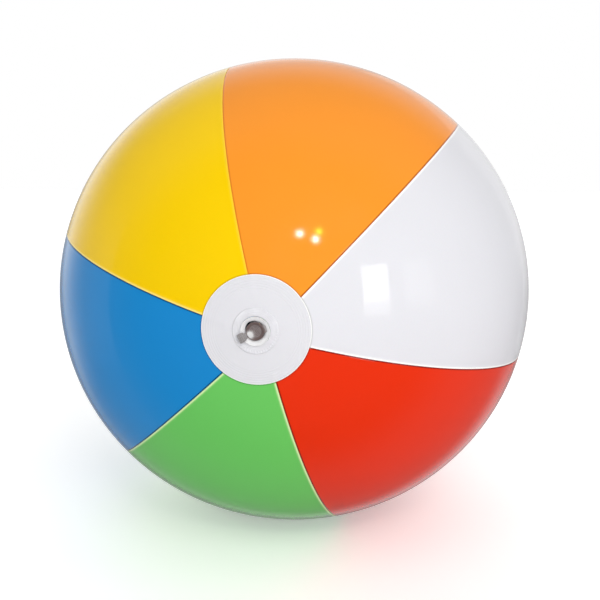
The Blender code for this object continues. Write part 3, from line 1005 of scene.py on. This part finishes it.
# How brightly each part of the surround lights the ball and shows in its gloss, how far the dark
# area dims that, and how bright the surround itself looks.
SURROUND_FRONT = 0.03
SURROUND_SIDES = 0.24
SURROUND_BEHIND = 0.4
SURROUND_BELOW = 0.4
SURROUND_LEFT_BACK = 0.36
SURROUND_LEFT_WALL = 0.22
SURROUND_DARK_SPOT = 0.4
SURROUND_SEEN = 1.0


def direction(azimuth, elevation):
    """A direction from the ball: azimuth from -Y towards +X, elevation above the floor."""
    turn, lift = math.radians(azimuth), math.radians(elevation)
    return Vector((math.sin(turn) * math.cos(lift), -math.cos(turn) * math.cos(lift), math.sin(lift)))


# The left wall starts a right angle round from the first of these, and the second is the way to
# the middle of the dark area.
SQUARE_TO_WALL_EDGE = direction(183, 0)
DARK_SPOT = direction(194, -14)


def studio_world():
    """The surround: a pale wall on the left, brighter behind than in front, with one dark area behind."""
    world = bpy.data.worlds.new("studio_world")
    world.use_nodes = True
    bpy.context.scene.world = world
    nodes, links = world.node_tree.nodes, world.node_tree.links
    place = nodes.new("ShaderNodeTexCoord")
    split = nodes.new("ShaderNodeSeparateXYZ")
    links.new(place.outputs["Generated"], split.inputs["Vector"])
    east, depth, height = split.outputs["X"], split.outputs["Y"], split.outputs["Z"]

    def ramp(source, start, end, low, high):
        change = nodes.new("ShaderNodeMapRange")
        change.interpolation_type = "SMOOTHSTEP"
        change.inputs["From Min"].default_value = start
        change.inputs["From Max"].default_value = end
        change.inputs["To Min"].default_value = low
        change.inputs["To Max"].default_value = high
        links.new(source, change.inputs["Value"])
        return change.outputs["Result"]

    def join(operation, first, second):
        node = nodes.new("ShaderNodeMath")
        node.operation = operation
        links.new(first, node.inputs[0])
        links.new(second, node.inputs[1])
        return node.outputs["Value"]

    def add(first, second):
        return join("ADD", first, second)

    def times(first, second):
        return join("MULTIPLY", first, second)

    def facing(towards):
        node = nodes.new("ShaderNodeVectorMath")
        node.operation = "DOT_PRODUCT"
        node.inputs[1].default_value = towards
        links.new(place.outputs["Generated"], node.inputs[0])
        return node.outputs["Value"]

    round_about = ramp(depth, -0.45, 0.1, SURROUND_FRONT, SURROUND_SIDES)

    on_left = ramp(east, 0.1, -0.2, 0.0, 1.0)
    above_floor = ramp(height, -0.5, -0.2, 0.2, 1.0)
    below_top = ramp(height, 0.5, 0.1, 0.1, 1.0)
    left_back = ramp(depth, 0.3, 0.68, 0.0, SURROUND_LEFT_BACK)
    past_edge = facing(SQUARE_TO_WALL_EDGE)
    wall = ramp(past_edge, 0.0, 0.05, 0.0, SURROUND_LEFT_WALL)
    left_side = times(add(left_back, wall), times(times(above_floor, below_top), on_left))

    behind = ramp(depth, 0.5, 0.88, 0.0, SURROUND_BEHIND)
    clear_of_floor = ramp(height, -0.2, 0.05, 0.0, 1.0)
    below = ramp(height, -0.2, -0.45, 0.0, SURROUND_BELOW)
    turned_away = ramp(depth, 0.6, 0.85, 0.0, 1.0)
    back = add(times(behind, clear_of_floor), times(below, turned_away))

    dark_spot = ramp(facing(DARK_SPOT), 0.86, 0.95, 1.0, SURROUND_DARK_SPOT)
    mirrored = times(add(add(round_about, left_side), back), dark_spot)

    path = nodes.new("ShaderNodeLightPath")
    seen = nodes.new("ShaderNodeMix")
    links.new(path.outputs["Is Camera Ray"], seen.inputs["Factor"])
    links.new(mirrored, seen.inputs["A"])
    seen.inputs["B"].default_value = SURROUND_SEEN
    links.new(seen.outputs["Result"], nodes["Background"].inputs["Strength"])
    nodes["Background"].inputs["Color"].default_value = (1, 1, 1, 1)


def aim_lamp(name, lamp, azimuth, elevation, distance, in_reflections):
    """Put a lamp in a direction from the ball, facing the ball."""
    item = bpy.data.objects.new(name, lamp)
    bpy.context.scene.collection.objects.link(item)
    towards = direction(azimuth, elevation)
    item.location = BALL_CENTRE + towards * distance
    item.rotation_mode = "QUATERNION"
    item.rotation_quaternion = towards.to_track_quat("Z", "Y")
    item.visible_camera = False
    item.visible_glossy = in_reflections


def soft_box(name, azimuth, elevation, distance, width, height, power):
    """A rectangular lamp that shows in the film as a highlight."""
    lamp = bpy.data.lights.new(name, "AREA")
    lamp.shape = "RECTANGLE"
    lamp.size = width
    lamp.size_y = height
    lamp.energy = power
    aim_lamp(name, lamp, azimuth, elevation, distance, True)


# A small lamp's discs: width and distance in metres, and share of its brightness.
LAMP_DISCS = ((0.07, 1.98, 1.0), (0.12, 1.99, 0.45), (0.18, 2.0, 0.15))
PLAIN_LIGHT = (1.0, 1.0, 1.0)
WARM_LIGHT = (1.0, 0.8, 0.05)


def small_lamp(name, azimuth, elevation, brightness, colour):
    """A small round lamp behind a diffuser: brightest in the middle, fading to its edge."""
    for size, distance, share in LAMP_DISCS:
        lamp = bpy.data.lights.new(name, "AREA")
        lamp.shape = "DISK"
        lamp.size = size
        lamp.energy = brightness * share * (math.pi * size / 2) ** 2
        lamp.color = colour
        aim_lamp(name, lamp, azimuth, elevation, distance, True)


def broad_light(name, azimuth, elevation, spread, strength):
    """Even, soft light from one side, kept out of the film's reflections."""
    lamp = bpy.data.lights.new(name, "SUN")
    lamp.angle = math.radians(spread)
    lamp.energy = strength
    aim_lamp(name, lamp, azimuth, elevation, 3.0, False)


studio_world()
broad_light("overhead_light", 40, 62, 60, 0.85)
broad_light("front_light", 25, 22, 60, 1.62)
broad_light("left_light", -50, 25, 60, 0.7)
broad_light("rear_light", 190, 35, 60, 0.7)
soft_box("side_box", 41.7, 10.4, 2.0, 0.42, 0.54, 2.7)
soft_box("side_box_foot", 41.7, -0.2, 2.0, 0.42, 0.20, 0.5)
soft_box("side_box_far", 62.5, 8, 2.0, 0.50, 0.62, 0.65)
soft_box("back_panel", 158, 5, 2.5, 1.5, 2.0, 1.6)
small_lamp("small_lamp_left", 8.5, 34.0, 22, PLAIN_LIGHT)
small_lamp("small_lamp_right", 16.2, 31.2, 22, PLAIN_LIGHT)
small_lamp("small_warm_lamp", 18.2, 34.6, 14, WARM_LIGHT)


# ---- The camera, a little right of the valve and above it ----

CAMERA_AZIMUTH = 6.0
CAMERA_ELEVATION = 9.0
CAMERA_DISTANCE = 4.0 * BALL_RADIUS
CAMERA_LENS = 54.5
SENSOR_WIDTH = 36
CAMERA_AIM = Vector((3.9 * MM, -0.8 * MM, -7.4 * MM)) + BALL_CENTRE
camera_data = bpy.data.cameras.new("camera")
camera_data.sensor_width = SENSOR_WIDTH
camera_data.lens = CAMERA_LENS
camera = bpy.data.objects.new("camera", camera_data)
bpy.context.scene.collection.objects.link(camera)
to_camera = direction(CAMERA_AZIMUTH, CAMERA_ELEVATION)
camera.location = BALL_CENTRE + to_camera * CAMERA_DISTANCE
camera.rotation_mode = "QUATERNION"
camera.rotation_quaternion = (CAMERA_AIM - camera.location).to_track_quat("-Z", "Y")
bpy.context.scene.camera = camera
bpy.context.scene.view_settings.view_transform = "Standard"
